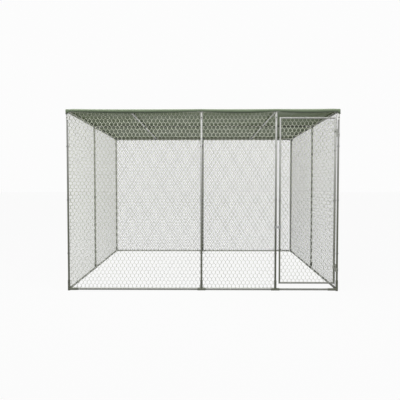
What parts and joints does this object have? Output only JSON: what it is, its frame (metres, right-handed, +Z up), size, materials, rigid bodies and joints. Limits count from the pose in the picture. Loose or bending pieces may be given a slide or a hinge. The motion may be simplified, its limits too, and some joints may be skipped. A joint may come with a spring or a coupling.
{
  "type": "chicken run",
  "caption": "Walk-in poultry run: bolted tube frame with wire netting on all sides, a green sheet cover on a gently falling roof and a netted swing door with a hasp.",
  "frame": {"origin": "on the ground at the middle of the run's base", "axes": "+Z up, front with the door towards -Y, +X to the right seen from the front"},
  "size_m": [3.0147, 3.0269, 2.0056],
  "materials": {
    "galvanised_tube": "galvanised",
    "galvanised_connector": "galvanised",
    "dark_bolt": "oiled",
    "net_wire": "galvanised",
    "clip_plastic": "matte",
    "dark_zinc": "zinc",
    "green_sheet": "coated weave"
  },
  "bodies": {
    "frame": {"front_left_post": "galvanised_tube", "front_right_post": "galvanised_tube", "back_left_post": "galvanised_tube", "back_right_post": "galvanised_tube", "front_mid_post": "galvanised_tube", "door_post": "galvanised_tube", "back_mid_post": "galvanised_tube", "left_mid_post": "galvanised_tube", "right_mid_post": "galvanised_tube", "front_bottom_rail": "galvanised_tube", "back_bottom_rail": "galvanised_tube", "left_bottom_rail": "galvanised_tube", "right_bottom_rail": "galvanised_tube", "front_top_rail": "galvanised_tube", "back_top_rail": "galvanised_tube", "left_top_rail": "galvanised_tube", "right_top_rail": "galvanised_tube", "left_purlin": "galvanised_tube", "right_purlin": "galvanised_tube", "left_beam": "galvanised_tube", "mid_beam": "galvanised_tube", "right_beam": "galvanised_tube", "front_left_foot_corner": "galvanised_connector", "front_right_foot_corner": "galvanised_connector", "back_left_foot_corner": "galvanised_connector", "back_right_foot_corner": "galvanised_connector", "front_left_roof_corner": "galvanised_connector", "front_right_roof_corner": "galvanised_connector", "back_left_roof_corner": "galvanised_connector", "back_right_roof_corner": "galvanised_connector", "post_foot_tees": "galvanised_connector", "post_head_tees": "galvanised_connector", "door_head_cross": "galvanised_connector", "purlin_tees": "galvanised_connector", "beam_crosses": "galvanised_connector", "set_bolts": "dark_bolt", "front_net": "net_wire", "back_net": "net_wire", "left_net": "net_wire", "right_net": "net_wire", "net_clips": "clip_plastic", "roof_cover": "green_sheet", "hinge_pintles": "dark_zinc", "hasp_staple": "dark_zinc"},
    "door": {"latch_stile": "galvanised_tube", "hinge_stile": "galvanised_tube", "door_top_tube": "galvanised_tube", "door_bottom_tube": "galvanised_tube", "door_net": "net_wire", "door_net_clips": "clip_plastic", "hinge_eyes": "dark_zinc", "hasp_bracket": "dark_zinc", "hasp_pin": "dark_bolt", "door_bolts": "dark_bolt"},
    "hasp": {"hasp": "dark_zinc"}
  },
  "joints": [
    {"name": "door_swing", "type": "hinge", "parent": "frame", "child": "door", "pos_m": [1.47075, -1.497, 1], "axis": [0, 0, 1], "range_deg": [0, 110]},
    {"name": "hasp_swing", "type": "hinge", "parent": "door", "child": "hasp", "pos_m": [0.853, -1.5068, 0.709], "axis": [0, 0, 1], "range_deg": [0, 170]}
  ]
}
